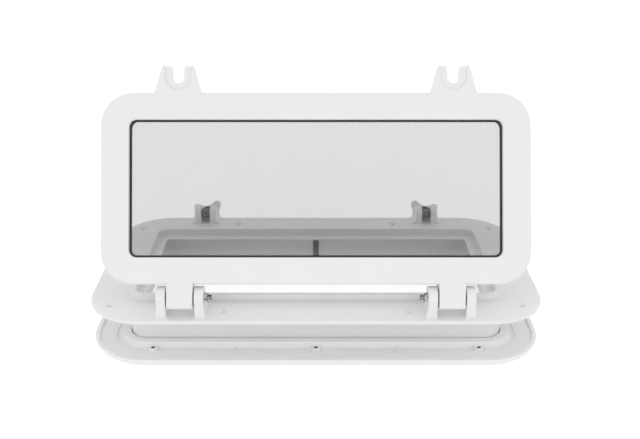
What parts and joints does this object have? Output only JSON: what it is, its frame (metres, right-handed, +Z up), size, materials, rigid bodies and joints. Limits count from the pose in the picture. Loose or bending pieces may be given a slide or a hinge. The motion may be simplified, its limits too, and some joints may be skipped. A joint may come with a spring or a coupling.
{
  "type": "opening caravan window",
  "caption": "Rectangular opening window for a caravan wall: flanged frame, trim ring, glazed sash on two hinges, swing bolts with four-lobed knobs.",
  "frame": {"origin": "on the floor under the middle of the opening, in the plane of the trim ring's face", "axes": "+X along the window, +Y from the hinges to the locks, +Z up, towards the outside of the wall"},
  "size_m": [0.439, 0.2615, 0.2636],
  "materials": {
    "white_abs": "satin",
    "smoked_pane": "clear",
    "black_rubber": "matt",
    "stainless": "bright",
    "brass": "turned"
  },
  "bodies": {
    "frame": {"main_frame": "white_abs", "trim_ring": "white_abs", "drain_strip": "black_rubber", "hinge_bolt_left": "stainless", "hinge_bolt_right": "stainless", "hinge_nut_left": "stainless", "hinge_nut_right": "stainless", "lock_pin_left": "stainless", "lock_pin_right": "stainless"},
    "sash": {"sash_frame": "white_abs", "glass_pane": "smoked_pane", "glazing_gasket": "black_rubber", "glazing_bead": "white_abs", "sash_seal": "black_rubber"},
    "bolt_left": {"swing_bolt_left": "stainless"},
    "bolt_right": {"swing_bolt_right": "stainless"},
    "washer_left": {"bolt_washer_left": "stainless"},
    "washer_right": {"bolt_washer_right": "stainless"},
    "knob_left": {"lobe_knob_left": "white_abs", "knob_insert_left": "brass"},
    "knob_right": {"lobe_knob_right": "white_abs", "knob_insert_right": "brass"}
  },
  "joints": [
    {"name": "sash_hinge", "type": "hinge", "parent": "frame", "child": "sash", "pos_m": [0, -0.0988, 0.0654], "axis": [-1, 0, 0], "range_deg": [-45, 64.4]},
    {"name": "bolt_left_swing", "type": "hinge", "parent": "frame", "child": "bolt_left", "pos_m": [-0.127, 0.1055, 0.0581], "axis": [1, 0, 0], "range_deg": [0, 119]},
    {"name": "bolt_right_swing", "type": "hinge", "parent": "frame", "child": "bolt_right", "pos_m": [0.127, 0.1055, 0.0581], "axis": [1, 0, 0], "range_deg": [0, 119]},
    {"name": "knob_left_travel", "type": "slide", "parent": "bolt_left", "child": "washer_left", "axis": [0, -0.8746, 0.4848], "range_m": [-0.002, 0.0039]},
    {"name": "knob_left_turn", "type": "hinge", "parent": "washer_left", "child": "knob_left", "pos_m": [-0.127, 0.1055, 0.0581], "axis": [0, -0.8746, 0.4848], "range_deg": [-720, 1404]},
    {"name": "knob_right_travel", "type": "slide", "parent": "bolt_right", "child": "washer_right", "axis": [0, -0.8746, 0.4848], "range_m": [-0.002, 0.0039]},
    {"name": "knob_right_turn", "type": "hinge", "parent": "washer_right", "child": "knob_right", "pos_m": [0.127, 0.1055, 0.0581], "axis": [0, -0.8746, 0.4848], "range_deg": [-720, 1404]}
  ],
  "couplings": [
    {"joint": "knob_left_travel", "follows": "knob_left_turn", "m_per_rad": 0.00015915},
    {"joint": "knob_right_travel", "follows": "knob_right_turn", "m_per_rad": 0.00015915}
  ]
}
